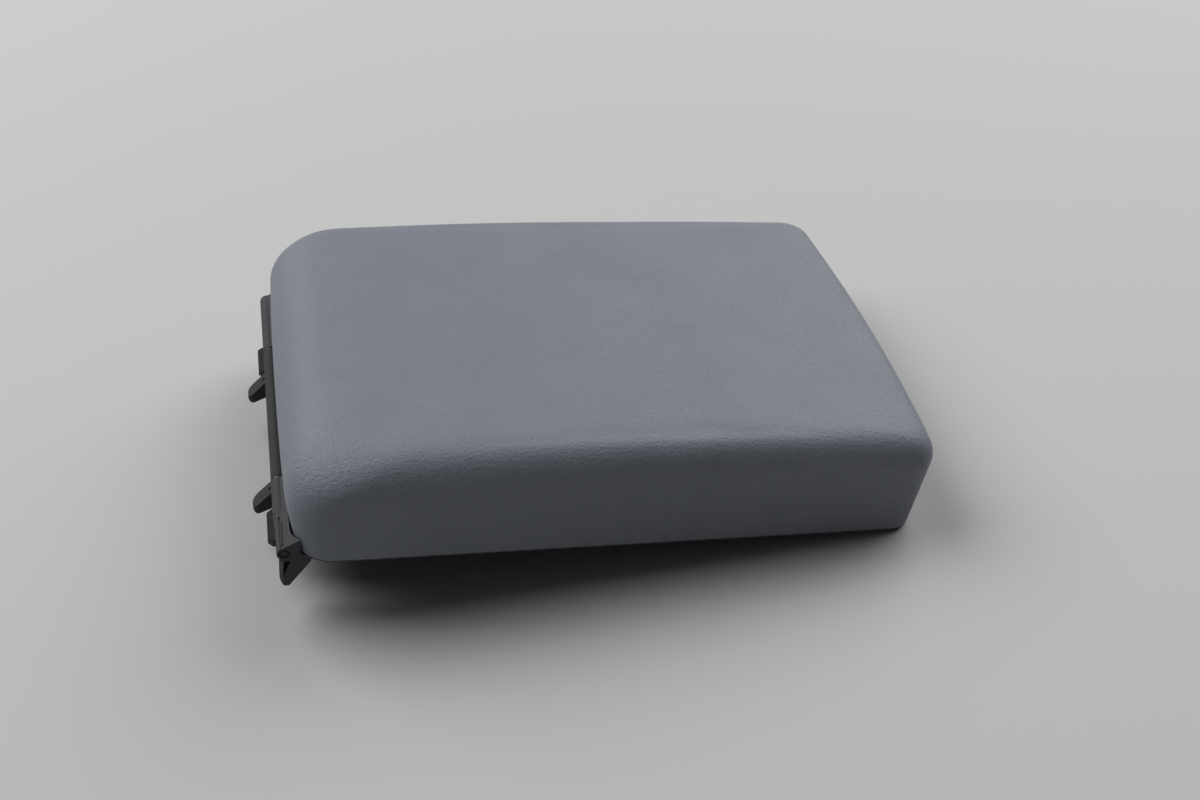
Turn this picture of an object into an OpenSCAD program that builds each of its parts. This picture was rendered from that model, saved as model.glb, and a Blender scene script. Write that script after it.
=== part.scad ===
// Car centre console armrest: a padded lid, its hinge, and the latch in its front edge.
// Parts are drawn in lid coordinates: x runs forward from the foot of the pad's rear wall,
// y across the lid, and z up from its lower edge. at_mount() then moves them so that the origin is
// the middle of the hinge base's screw pattern, on the face that meets the console.

/* [Pad] */
// Length from the foot of the rear wall to the front corners
pad_l = 300; // [270:1:330]
// Width across the shoulders, halfway along
pad_w = 207.5; // [190:0.5:225]
// Height of the side walls
pad_h = 47.6; // [42:0.1:54]
// Rise of the top along the length
crown_h = 5.1; // [2:0.1:8]
// Rounding of the rear top edge
rear_r = 25; // [20:0.5:30]
// Lean of the rear wall out over its foot, in degrees
rear_tilt = 11.7; // [8:0.1:13]
// Rounding of the front top edge
front_r = 11.5; // [8:0.5:15]
// Rounding of the long top edges at the front
side_r = 10.5; // [8:0.5:14]
// Rounding of the long top edges at the rear
side_r_rear = 13; // [9:0.5:16]
// Rounding of the rear corners, seen from above
corner_r_rear = 16; // [12:0.5:20]
// Rounding of the front corners, seen from above
corner_r_front = 11; // [8:0.5:15]
// How far the front end bows out
front_bow = 4.8; // [2:0.1:6]
// How far the rear end bows out
rear_bow = 0.9; // [0.4:0.1:1]
// How far the front wall leans in towards its foot
front_lean = 5; // [2:0.1:7]
// How far each side wall spreads towards its foot
side_flare = 3.8; // [1:0.1:5]

/* [Cover and foam] */
// Thickness of the cover
skin_t = 1.2; // [0.8:0.1:1.6]
// Width of the cover's folded edge
hem_w = 12; // [10:0.5:13]
// Clearance between the pad's layers
pad_gap = 0.3; // [0.2:0.05:0.5]

/* [Carrier] */
// Inset of the carrier's wall from the pad's foot
carrier_in = 9; // [8:0.5:11]
// Height of the carrier's top
carrier_h = 28; // [26:0.5:32]
// Wall of the carrier
carrier_t = 2.5; // [2:0.1:3]
// Inset of the carrier's rim from the pad's foot
rim_in = 2.3; // [2.1:0.1:3]
// Width of the carrier's rim
rim_w = 16; // [14:0.5:18]
// Thickness of the carrier's rim
rim_t = 2; // [1.6:0.1:2.6]
// Thickness of a stiffening rib
rib_t = 2; // [1.5:0.1:2.6]
// Depth of a stiffening rib under the carrier's top
rib_h = 8; // [5:0.5:12]
// Distance between the cross ribs
rib_pitch = 36; // [30:1:44]
// Radius of a screw boss
boss_r = 3.6; // [3.2:0.1:4]

/* [Lower panel] */
// Thickness of the lower panel
panel_t = 1.5; // [1.3:0.1:1.8]
// Inset of the lower panel from the pad's foot
panel_in = 0.4; // [0.2:0.1:0.8]
// Drop of the locating step below the panel's edge
step_h = 2.5; // [2:0.1:3]
// Distance of the step from the pad's rear wall
step_rear = 28; // [26:0.5:34]
// Distance of the step from the pad's front
step_front = 56; // [54:0.5:64]
// Distance of the step from the pad's side
step_side = 20; // [18:0.5:26]
// Corner radius of the step
step_r = 12; // [8:0.5:16]
// Width of a stiffening channel in the panel's underside
channel_w = 5; // [3:0.5:8]
// Depth of a stiffening channel
channel_d = 0.5; // [0.3:0.1:0.7]
// Distance between the stiffening channels
channel_pitch = 24; // [20:1:27]

/* [Staples] */
// Distance of the staples from the pad's foot
staple_in = 7.5; // [6.5:0.5:8.5]
// Thickness of the staple wire
staple_t = 0.5; // [0.4:0.1:0.6]
// Length of a staple's back
staple_l = 8; // [6:0.5:9]
// Length of a staple's legs
staple_leg = 3; // [2.6:0.1:3.2]

/* [Screws] */
// Radius of a screw's shank
screw_r = 1.5; // [1.3:0.1:1.7]
// Radius of a screw's head
head_r = 3; // [2.7:0.1:3.2]
// Height of a screw's head
head_h = 1.6; // [1.2:0.1:2]
// Length of a screw's shank
screw_l = 11; // [10:0.5:13]
// Radial clearance of a screw in the piece it holds
screw_gap = 0.3; // [0.2:0.05:0.5]

/* [Buffers] */
// Radius of a rubber buffer
buffer_r = 5; // [4:0.5:6]
// How far a buffer stands below the panel
buffer_h = 1.3; // [1:0.1:1.5]
// Radius of a buffer's neck
buffer_neck_r = 2.2; // [1.8:0.1:2.5]
// Distance of the buffers from the pad's front
buffer_front = 30; // [28:0.5:36]
// Distance of the buffers from the pad's side
buffer_side = 24; // [22:0.5:30]

/* [Hinge] */
// Distance of the hinge axis behind the foot of the pad's rear wall
axis_back = 5.6; // [5.5:0.1:6]
// Height of the hinge axis above the pad's lower edge
axis_z = 1.2; // [0.9:0.1:1.4]
// Radius of the hinge bar
bar_r = 3.9; // [3.6:0.1:3.9]
// Distance of the bar's end from the pad's side
bar_inset = 3.6; // [3:0.1:6]
// Half length of the bar's middle part
middle_half = 50.5; // [49.5:0.5:51]
// Radius of the hinge pin
pin_r = 1.6; // [1.4:0.1:1.7]
// Radial running clearance on the hinge pin
run_gap = 0.05; // [0.03:0.01:0.08]
// Outer radius of a bush
bush_r = 2.4; // [2.2:0.1:2.6]
// Length of a bush inside its arm
bush_l = 8; // [6:0.5:12]
// Thickness of a bush's flange
bush_flange_t = 1.2; // [0.8:0.1:1.4]
// Clearance on each side of a bush's flange
end_gap = 0.15; // [0.1:0.05:0.2]
// Thickness of a pin clip
clip_t = 0.6; // [0.5:0.1:0.8]
// Outer radius of a pin clip
clip_r = 2.4; // [2.3:0.1:2.5]
// Depth of the recess for a pin clip
clip_recess = 1.6; // [1.5:0.1:2]

/* [Hinge arms] */
// Slope of an arm's top face up to the pad, in degrees
arm_slope = 30; // [24:1:34]
// Radius of the near arm's slim outer end
arm_end_r = 3.3; // [3.2:0.1:3.6]
// Length of the slim outer end
arm_end_l = 26; // [20:1:30]
// Length of the ridge on the slim end
ridge_l = 15; // [10:1:18]
// Thickness of an arm's leaf under the lid
leaf_t = 2.6; // [2.2:0.1:2.8]
// Reach of the leaf under the lid
leaf_l = 23; // [22:0.5:25]
// Gap between the leaf and the panel
seat_gap = 0.2; // [0.1:0.05:0.3]
// Distance of the arm screws from the pad's rear wall
arm_screw_x = 18; // [17.5:0.1:19]
// Distance of the inner arm screw from the bar's middle part
arm_screw_in = 12; // [10:0.5:16]
// Distance of the outer arm screw from the bar's end
arm_screw_out = 13; // [12:0.5:18]
// Depth of the hanging ear below the hinge axis
ear_h = 19.5; // [16:0.5:21]
// Reach of the hanging ear ahead of the hinge axis
ear_reach = 11.9; // [10:0.1:12.5]
// Reach of the hanging ear behind the hinge axis
ear_back = 2.1; // [1.8:0.1:2.6]
// Width of the hanging ear
ear_w = 7.5; // [6:0.5:9]
// Wall of the hanging ear
ear_t = 2; // [1.6:0.1:2.4]

/* [Hinge base] */
// Half length of the rail that carries the hooks and tabs
rail_half = 76; // [75:0.5:80]
// Distance of the rail's top below the pad's lower edge
rail_drop = 4; // [3.8:0.1:4.6]
// Thickness of the rail
rail_t = 3; // [2.4:0.1:3.4]
// Distance of the rail's rear face behind the pad's rear wall
rail_back = 8; // [7.6:0.1:8.2]
// Thickness of the skirt behind the console's wall
skirt_t = 2.5; // [2:0.1:3]
// Depth of the skirt below the pad's lower edge
skirt_h = 17; // [16:0.5:20]
// Distance of the mounting face ahead of the pad's rear wall
face_x = 8; // [7:0.5:9]
// Thickness of the mounting flange
flange_t = 3; // [2.6:0.1:4]
// Half width of the mounting flange
flange_half = 56; // [54:0.5:57]
// Depth of the mounting flange below the pad's lower edge
flange_h = 35; // [34:0.5:37]
// Reach of the gussets ahead of the flange
gusset_l = 11; // [8:0.5:12]
// Height of the gussets
gusset_h = 17; // [12:0.5:18]
// Thickness of a gusset
gusset_t = 2.4; // [2:0.1:3]
// Distance between the gussets
gusset_pitch = 26; // [25:0.5:26.5]
// Inner edge of a hook, from the middle
hook_y = 39; // [38:0.5:40]
// Width of a hook
hook_w = 8.5; // [7:0.5:9]
// Reach of a hook's tip behind the rail
hook_reach = 10; // [8:0.5:11]
// Drop of a hook's tip below the rail's top
hook_drop = 17.4; // [15:0.1:18]
// Radius of a hook's tip, seen from the side
hook_tip_r = 2.2; // [1.8:0.1:2.4]
// Corner radius of a hook's tip, seen from above
hook_corner_r = 3; // [2:0.1:3.4]
// Middle of a tab, from the middle of the lid
tab_y = 65.2; // [63:0.1:66]
// Width of a tab at the skirt
tab_w = 21; // [18:0.5:21.5]
// Reach of a tab behind the rail
tab_l = 4; // [3:0.1:5]

/* [Mounting screws] */
// Radius of a mounting hole
mount_r = 2.75; // [2.2:0.05:3]
// Distance between the mounting holes across the lid
mount_dy = 78; // [76:1:80]
// Distance between the mounting holes in height
mount_dz = 14; // [12:0.5:15]
// Depth of the screw pattern's middle below the pad's lower edge
mount_drop = 20; // [19:0.5:21]

/* [Latch] */
// Length of the latch housing
house_l = 34; // [33:0.5:36]
// Width of the latch housing
house_w = 50; // [46:1:54]
// Height of the latch housing
house_h = 20; // [19:0.5:21]
// Wall of the latch housing
house_t = 1.8; // [1.5:0.1:2]
// Clearance round the latch housing
house_gap = 0.4; // [0.3:0.1:0.6]
// Distance of the latch pivot from the housing's front
pivot_back = 14; // [13.5:0.1:14.5]
// Height of the latch pivot
pivot_z = 12; // [11.5:0.1:12.5]
// Radius of the latch pin
latch_pin_r = 1.5; // [1.3:0.1:1.7]
// Radius of the lever's boss
lever_boss_r = 3.2; // [3:0.1:3.6]
// Reach of the paddle ahead of the pivot
paddle_l = 8.5; // [7.5:0.1:8.8]
// Thickness of the paddle
paddle_t = 2.4; // [2:0.1:2.8]
// Height of the paddle's underside
paddle_z = 0.8; // [0.6:0.1:1.2]
// Half width of the hook on the lever
nose_half = 7; // [5:0.5:7.5]
// Reach of the hook behind the pivot
nose_l = 8.5; // [7.5:0.1:9]
// Side clearance of the lever in its housing
lever_gap = 0.8; // [0.5:0.1:1.2]
// Wire radius of the latch spring
wire_r = 0.4; // [0.3:0.05:0.45]
// Mean coil radius of the latch spring
coil_r = 2.6; // [2.4:0.1:2.8]
// Turns of the latch spring
coil_turns = 4; // [3:1:5]
// Place of the latch spring's first turn, from the middle
coil_y = 10; // [9.5:0.1:11]
// Distance between the turns of the latch spring
coil_pitch = 1.2; // [1.1:0.05:1.3]

/* [Hidden] */

cover_colour = [0.47, 0.49, 0.53];
foam_colour = [0.85, 0.80, 0.62];
plastic_colour = [0.20, 0.20, 0.21];
trim_colour = [0.10, 0.10, 0.11];
steel_colour = [0.62, 0.63, 0.65];
rubber_colour = [0.07, 0.07, 0.07];
acetal_colour = [0.06, 0.06, 0.065];

// Steps round a corner, along a side and across half an end of the pad's outline
corner_steps = 6;
side_steps = 9;
end_steps = 3;
// Steps up the rounded part of the pad
round_steps = 8;
// How much wider the pad is at the front than at the rear, as a share of its width
front_widening = 0.024;
// Where along the pad its top is highest, as a share of its length
crown_at = 0.6;
// Overlap of solids that are joined into one piece
weld = 0.05;
// Radial clearance of a piece that is pushed in to stay
push_gap = 0.02;

// Straight edge that a staple needs beside its own length
staple_room = 4;
// Half width and floor of the groove over the staples' backs
groove_half = 2;
groove_z = panel_t - staple_t - seat_gap;

hem_top = panel_t + skin_t;
rim_z = hem_top + seat_gap;
foam_z = rim_z + rim_t + pad_gap;
shoulder_z = pad_h - rear_r;
// Rear wall: where its straight part ends, and how far it stands out over its foot
bend_h = rear_r*sin(rear_tilt);
overhang = rear_r - rear_r*cos(rear_tilt) + (shoulder_z - bend_h)*tan(rear_tilt);

axis_x = -axis_back;
bar_half = pad_w/2 - bar_inset;
arm_y = middle_half + bush_flange_t + 2*end_gap;
arm_l = bar_half - arm_y;
arm_screw_y = [arm_y + arm_screw_in, bar_half - arm_screw_out];
leaf_z = -seat_gap - leaf_t;
// An arm's sloping top face: where it leaves the bar, and where it would end without the pad
arm_face = [axis_x - arm_end_r*sin(arm_slope), axis_z + arm_end_r*cos(arm_slope)];
arm_face_x = 4;
arm_face_z = arm_face.y + (arm_face_x - arm_face.x)*tan(arm_slope);
// Length of the taper down to the slim end
arm_taper_l = 10;
// Width and depth of the groove beside the ridge
ridge_groove_w = 0.9;
ridge_groove_d = 0.4;
// The ridge's radius, its distance up the face and its end's setback
ridge_r = 0.45;
ridge_up = 1.2;
ridge_in = 1.8;
// Bevel of an ear's outer rear edge, and depth of the notch in its outer face
ear_bevel = 1.6;
ear_notch_d = 3.8;
ear_foot = axis_z - ear_h;
ear_notch_z = axis_z - bar_r - 0.5;
// Radial clearance round a pin clip, and its distance from the recess's floor
clip_room = 0.15;
clip_seat = 0.3;

step_x0 = step_rear;
step_x1 = pad_l - step_front;
step_half = pad_w/2 - step_side;
panel_screw_in = 9;
panel_screw_x = [step_x0 + panel_screw_in, (step_x0 + step_x1)/2, step_x1 - panel_screw_in];
panel_screw_y = step_half - panel_screw_in;
step_floor_z = panel_t - step_h;

buffer_x = pad_l - buffer_front;
buffer_y = pad_w/2 - buffer_side;
// Width and height of the barb above the panel
barb = 0.8;
barb_h = 4;

// The housing stands clear of the cover's folded edge
house_hem_gap = 1.5;
house_x1 = pad_l + front_bow - front_lean - hem_w - house_hem_gap;
house_x0 = house_x1 - house_l;
pivot_x = house_x1 - pivot_back;
latch_ear_w = 9;
latch_ear_t = 2.5;
ear_offset = 2;
// Clearance of the spring's legs, and how far back its roof leg reaches
leg_gap = 0.3;
leg_back = 8;
leg_short = 1.5;
latch_ear_z = panel_t + head_h + 2*seat_gap;
latch_screw_y = house_w/2 + latch_ear_w/2;
// The ears sit a little behind the housing's middle
latch_screw_x = (house_x0 + house_x1)/2 - ear_offset;
lever_half = house_w/2 - house_t - lever_gap;

rail_z = -rail_drop - rail_t;
// How much narrower the middle bar's web is at its foot, in front
web_foot = 1.2;
// Top and underside of a hook at the skirt, below the rail's underside
hook_top_drop = 0.2;
hook_foot_drop = 10.8;
// Slot down a hook's upper face from its root: width, length and depth
hook_slot_w = 1.2;
hook_slot_l = 4;
hook_slot_d = 1;
// Steps round a hook's tip
tip_steps = 8;
// Top of a tab below the pad's lower edge, and the bevel of its corners
tab_top = 12.5;
tab_bevel = [2.2, 2.6];

// Inset of a rounding at the height h above its centre, none where nothing is left of it
function arc_in(rounding, h) = let (r = max(rounding, 0)) r - sqrt(max(r*r - h*h, 0));
function flare(x) = 1 + front_widening*(x/pad_l - 0.5);
function crown(x) = crown_h*(1 - pow((x - crown_at*pad_l)/(0.5*pad_l), 2));
function side_round(x) =
    side_r_rear + (side_r - side_r_rear)*min(max(x/(crown_at*pad_l), 0), 1);

// Insets of the rear, front and side walls at the height z, d inside the cover's outer face
function rear_in(z, d) = let (r = rear_r - d, bend = -r*sin(rear_tilt), h = z - shoulder_z)
    d - overhang + arc_in(r, max(h, bend)) + max(0, bend - h)*tan(rear_tilt);
function front_in(z, d) = d + arc_in(front_r - d, max(0, z - (pad_h - front_r)))
    + front_lean*(1 - min(z, pad_h - front_r)/(pad_h - front_r));
function side_in(x, z, d) = let (r = side_round(x))
    d + arc_in(r - d, max(0, z - (pad_h - r))) - side_flare*(1 - z/pad_h);

// Half of a rounded rectangle, from the middle of its rear end to the middle of its front end
function half_outline(xr, xf, w, rr, rf) = concat(
    [for (i = [0:end_steps - 1]) [xr, -(w - rr)*i/end_steps]],
    [for (i = [0:corner_steps]) let (a = 180 + 90*i/corner_steps)
        [xr + rr + rr*cos(a), -w + rr + rr*sin(a)]],
    [for (i = [1:side_steps - 1]) [xr + rr + (xf - rf - xr - rr)*i/side_steps, -w]],
    [for (i = [0:corner_steps]) let (a = 270 + 90*i/corner_steps)
        [xf - rf + rf*cos(a), -w + rf + rf*sin(a)]],
    [for (i = [1:end_steps]) [xf, -(w - rf)*(1 - i/end_steps)]]);

// A point of the outline with the side walls, bowed ends, widening and crown laid on
function shaped(p, z, d, xr, xf) = let (
    w = pad_w/2,
    y = p.y*(w - side_in(p.x, z, d))/w,
    bow = 1 - pow(y/w, 2),
    u = (p.x - xr)/(xf - xr),
    x = p.x + front_bow*bow*max(0, 2*u - 1) - rear_bow*bow*max(0, 1 - 2*u),
    rise = max(0, min(1, (z + d - hem_top)/(pad_h - hem_top))))
    [x, y*flare(x), z + pow(rise, 3)*crown(x)];

// The pad's outline at the height z, d inside the cover's outer face
function ring(z, d) = let (
    xr = rear_in(z, d),
    xf = pad_l - front_in(z, d),
    half = [for (p = half_outline(xr, xf, pad_w/2, max(corner_r_rear - d, 2),
        max(corner_r_front - d, 2))) shaped(p, z, d, xr, xf)],
    n = len(half))
    concat(half, [for (i = [n - 2:-1:1]) [half[i].x, -half[i].y, half[i].z]]);

// Direction in which a line from the point p touches a circle of radius r round c
function touch(p, c, r, side) = atan2(p.y - c.y, p.x - c.x) + side*acos(r/norm(p - c));

// The outline at the pad's foot, as a flat shape
function plan(d) = [for (p = ring(0, d)) [p.x, p.y]];
function flat_ring(z, d) = [for (p = plan(d)) [p.x, p.y, z]];
function round_level(i, d) = shoulder_z + (rear_r - d)*sin(90*i/round_steps);

// Triangles between two neighbouring rings of n points
function wall_faces(n, rings) = [for (k = [0:rings - 2], i = [0:n - 1], half = [0, 1])
    let (a = k*n + i, b = k*n + (i + 1)%n, c = (k + 1)*n + (i + 1)%n, e = (k + 1)*n + i)
    half == 0 ? [a, e, c] : [a, c, b]];
// Strips across a ring whose two halves mirror each other
function cap_faces(n, first, up) = let (m = n/2)
    [for (i = [0:m - 1], half = [0, 1])
        let (a = first + i, b = first + i + 1, c = first + (n - i - 1)%n, e = first + (n - i)%n,
            t = half == 0 ? [a, b, c] : [a, c, e])
        if ((half == 0 && i < m - 1) || (half == 1 && i > 0)) up ? [t[2], t[1], t[0]] : t];

// A closed solid through a list of rings
module loft(rings) {
    n = len(rings[0]);
    count = len(rings);
    polyhedron(points = [for (r = rings) each r],
        faces = concat(wall_faces(n, count), cap_faces(n, 0, false),
            cap_faces(n, (count - 1)*n, true)), convexity = 4);
}

// An upright plate with the pad's outline
module plate(d, z, h) {
    translate([0, 0, z]) linear_extrude(h) polygon(plan(d));
}

// A rectangle with rounded corners
module rounded(x0, x1, half, r) {
    translate([x0 + r, -half]) square([x1 - x0 - 2*r, 2*half]);
    translate([x0, -half + r]) square([x1 - x0, 2*half - 2*r]);
    for (x = [x0 + r, x1 - r], y = [-half + r, half - r])
        translate([x, y]) circle(r, $fn = 48);
}

// Extrudes a shape drawn in x and z from y0 to y0 + l on the near side
module along_y(y0, l) {
    translate([0, -y0, 0]) rotate([90, 0, 0]) linear_extrude(l) children();
}

// A round rod along the hinge axis or another axis across the lid
module cross_rod(x, z, r, y0, l) {
    translate([x, -y0, z]) rotate([90, 0, 0]) cylinder(r = r, h = l, $fn = 48);
}

module at_mount() {
    translate([-face_x, 0, mount_drop]) children();
}

// A screw driven upwards, with the seat of its head at the origin
module screw(l) {
    difference() {
        union() {
            rotate_extrude($fn = 32)
                polygon([[0, -head_h], [head_r*0.55, -head_h], [head_r*0.9, -head_h*0.6],
                    [head_r, 0], [0, 0]]);
            cylinder(r = screw_r, h = l - 1, $fn = 24);
            translate([0, 0, l - 1]) cylinder(r1 = screw_r, r2 = screw_r*0.4, h = 1, $fn = 24);
        }
        for (a = [0, 90])
            rotate([0, 0, a]) translate([-head_r*0.5, -0.3, -head_h - weld])
                cube([head_r, 0.6, head_h*0.6]);
    }
}

module panel_screw_places() {
    for (x = panel_screw_x, side = [-1, 1])
        translate([x, side*panel_screw_y, 0]) children();
}

module arm_screw_places(sides) {
    for (y = arm_screw_y, side = sides)
        translate([arm_screw_x, side*y, 0]) children();
}

module latch_screw_places() {
    for (side = [-1, 1])
        translate([latch_screw_x, side*latch_screw_y, 0]) children();
}

// Leather cover: one shell, folded under at its lower edge
module cover_skin() {
    color(cover_colour) at_mount() loft(concat(
        [for (i = [round_steps:-1:0]) ring(round_level(i, skin_t), skin_t)],
        [ring(shoulder_z - bend_h, skin_t), ring(hem_top, skin_t)],
        [flat_ring(hem_top, hem_w), flat_ring(panel_t, hem_w)],
        [for (z = [panel_t, shoulder_z*0.4, shoulder_z - bend_h]) ring(z, 0)],
        [for (i = [0:round_steps]) ring(round_level(i, 0), 0)]));
}

// Moulded foam: fills the space between the carrier and the cover
module foam_pad() {
    d = skin_t + pad_gap;
    hollow = carrier_in - pad_gap;
    color(foam_colour) at_mount() loft(concat(
        [flat_ring(carrier_h + pad_gap, hollow), flat_ring(foam_z, hollow)],
        [for (z = [foam_z, shoulder_z - bend_h]) ring(z, d)],
        [for (i = [0:round_steps]) ring(round_level(i, d), d)]));
}

// Carrier: a ribbed tray whose rim holds the cover and whose bosses take the screws
module carrier() {
    top_z = carrier_h - carrier_t;
    color(plastic_colour) at_mount() difference() {
        union() {
            difference() {
                plate(rim_in, rim_z, rim_t);
                plate(rim_in + rim_w, rim_z - weld, rim_t + 2*weld);
            }
            difference() {
                plate(carrier_in, rim_z + weld, carrier_h - rim_z - weld);
                plate(carrier_in + carrier_t, rim_z, top_z - rim_z);
            }
            intersection() {
                plate(carrier_in + carrier_t/2, top_z - rib_h, rib_h + weld);
                union() {
                    for (x = [rib_pitch:rib_pitch:pad_l - rib_pitch/2])
                        translate([x - rib_t/2, -pad_w, top_z - rib_h])
                            cube([rib_t, 2*pad_w, rib_h + weld]);
                    for (y = [-1, 0, 1])
                        translate([-rear_bow, y*rib_pitch*1.4 - rib_t/2, top_z - rib_h])
                            cube([pad_l + front_bow, rib_t, rib_h + weld]);
                }
            }
            panel_screw_places() translate([0, 0, step_floor_z + seat_gap])
                cylinder(r = boss_r, h = top_z - step_floor_z, $fn = 48);
            arm_screw_places([-1, 1]) translate([0, 0, panel_t + seat_gap])
                cylinder(r = boss_r, h = top_z - panel_t, $fn = 48);
            latch_screw_places() translate([0, 0, latch_ear_z + latch_ear_t + seat_gap])
                cylinder(r = boss_r, h = top_z - latch_ear_z - latch_ear_t, $fn = 48);
        }
        // Room for the latch housing
        translate([house_x0 - house_gap, -house_w/2 - house_gap, -step_h])
            cube([house_l + 2*house_gap, house_w + 2*house_gap, house_h + step_h + house_gap]);
        // Pilot holes
        panel_screw_places() translate([0, 0, step_floor_z])
            cylinder(r = screw_r + push_gap, h = screw_l - head_h, $fn = 32);
        arm_screw_places([-1, 1]) cylinder(r = screw_r + push_gap, h = screw_l, $fn = 32);
        latch_screw_places() translate([0, 0, latch_ear_z])
            cylinder(r = screw_r + push_gap, h = screw_l + 1, $fn = 32);
    }
}

module staple() {
    translate([-staple_l/2, -staple_t/2, 0]) cube([staple_l, staple_t, staple_t]);
    for (side = [-1, 1])
        translate([side*(staple_l - staple_t)/2 - staple_t/2, -staple_t/2, 0])
            cube([staple_t, staple_t, staple_leg]);
}

// Staples through the folded edge of the cover into the carrier's rim, none in the corners
module cover_staples() {
    spots = plan(staple_in);
    n = len(spots);
    color(steel_colour) at_mount() for (i = [0:n - 1]) {
        p = spots[i];
        q = spots[(i + 1)%n];
        if (norm(q - p) > staple_l + staple_room)
            translate([(p.x + q.x)/2, (p.y + q.y)/2, panel_t - staple_t - seat_gap/4])
                rotate([0, 0, atan2(q.y - p.y, q.x - p.x)]) staple();
    }
}

// Lower panel: closes the pad from below, with a step that drops into the console's box
module lower_panel() {
    color(trim_colour) at_mount() difference() {
        union() {
            plate(panel_in, 0, panel_t);
            translate([0, 0, -step_h]) linear_extrude(step_h + weld)
                rounded(step_x0, step_x1, step_half, step_r);
        }
        translate([0, 0, step_floor_z]) linear_extrude(step_h + panel_t)
            rounded(step_x0 + panel_t, step_x1 - panel_t, step_half - panel_t, step_r - panel_t);
        // Groove over the staples' backs
        difference() {
            plate(staple_in - groove_half, groove_z, panel_t);
            plate(staple_in + groove_half, groove_z - weld, panel_t + 2*weld);
        }
        // Stiffening channels in the underside
        for (k = [-2:2])
            translate([0, k*channel_pitch, -step_h - weld]) linear_extrude(channel_d + weld) {
                channel_x0 = step_x0 + step_r + channel_w;
                channel_x1 = step_x1 - step_r - channel_w;
                translate([channel_x0, -channel_w/2])
                    square([channel_x1 - channel_x0, channel_w]);
                for (x = [channel_x0, channel_x1])
                    translate([x, 0]) circle(channel_w/2, $fn = 32);
            }
        translate([house_x0 - house_gap, -house_w/2 - house_gap, -weld])
            cube([house_l + 2*house_gap, house_w + 2*house_gap, panel_t + 2*weld]);
        panel_screw_places() translate([0, 0, -step_h - weld])
            cylinder(r = screw_r + screw_gap, h = step_h + panel_t, $fn = 32);
        arm_screw_places([-1, 1]) translate([0, 0, -weld])
            cylinder(r = screw_r + screw_gap, h = panel_t + 2*weld, $fn = 32);
        for (side = [-1, 1])
            translate([buffer_x, side*buffer_y, -weld])
                cylinder(r = buffer_neck_r + push_gap, h = panel_t + 2*weld, $fn = 32);
    }
}

module panel_screws() {
    color(steel_colour) at_mount() panel_screw_places()
        translate([0, 0, -step_h]) screw(screw_l - head_h);
}

module arm_screws() {
    color(steel_colour) at_mount() arm_screw_places([-1, 1])
        translate([0, 0, leaf_z]) screw(screw_l);
}

// A round length of the hinge bar that narrows from r0 to r1
module cross_taper(r0, r1, y0, l) {
    translate([axis_x, -y0, axis_z]) rotate([90, 0, 0]) cylinder(r1 = r0, r2 = r1, h = l, $fn = 48);
}

// The bar of an arm: plain, or slim over its outer end
module arm_bar(slim) {
    end_y = bar_half - arm_end_l;
    if (slim) {
        cross_rod(axis_x, axis_z, bar_r, arm_y, end_y - arm_y + weld);
        cross_taper(bar_r, arm_end_r, end_y, arm_taper_l + weld);
        cross_rod(axis_x, axis_z, arm_end_r, end_y + arm_taper_l, arm_end_l - arm_taper_l);
    } else {
        cross_rod(axis_x, axis_z, bar_r, arm_y, arm_l);
    }
}

// Hanging ear: a bevelled plate with a notch in its outer face and a pocket in its inner one
module ear() {
    y0 = bar_half - ear_w;
    difference() {
        along_y(y0, ear_w) polygon([
            [axis_x - ear_back, axis_z], [axis_x - ear_back, ear_foot + 3],
            [axis_x - ear_back + 0.7, ear_foot + 1.1], [axis_x, ear_foot],
            [axis_x + ear_back, ear_foot], [axis_x + ear_reach, leaf_z - 1],
            [axis_x + ear_reach, leaf_z + 1], [axis_x, axis_z]]);
        translate([axis_x - ear_back, -bar_half, ear_foot - 1])
            linear_extrude(ear_notch_z - ear_foot + 1)
            polygon([[-weld, -weld], [ear_bevel, -weld], [-weld, 1.5*ear_bevel]]);
        along_y(bar_half - ear_notch_d, ear_notch_d + weld) polygon([
            [axis_x + 0.1, ear_notch_z], [axis_x + 2.8, ear_notch_z],
            [axis_x - 0.7, ear_foot + 5]]);
        along_y(y0 - weld, ear_w - ear_t + weld) polygon([
            [axis_x + 4.6, ear_notch_z - 0.6], [axis_x + ear_reach - 2*ear_t, ear_notch_z - 0.6],
            [axis_x + ear_back, ear_foot + 4], [axis_x + 0.9, ear_foot + 4]]);
    }
}

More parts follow.
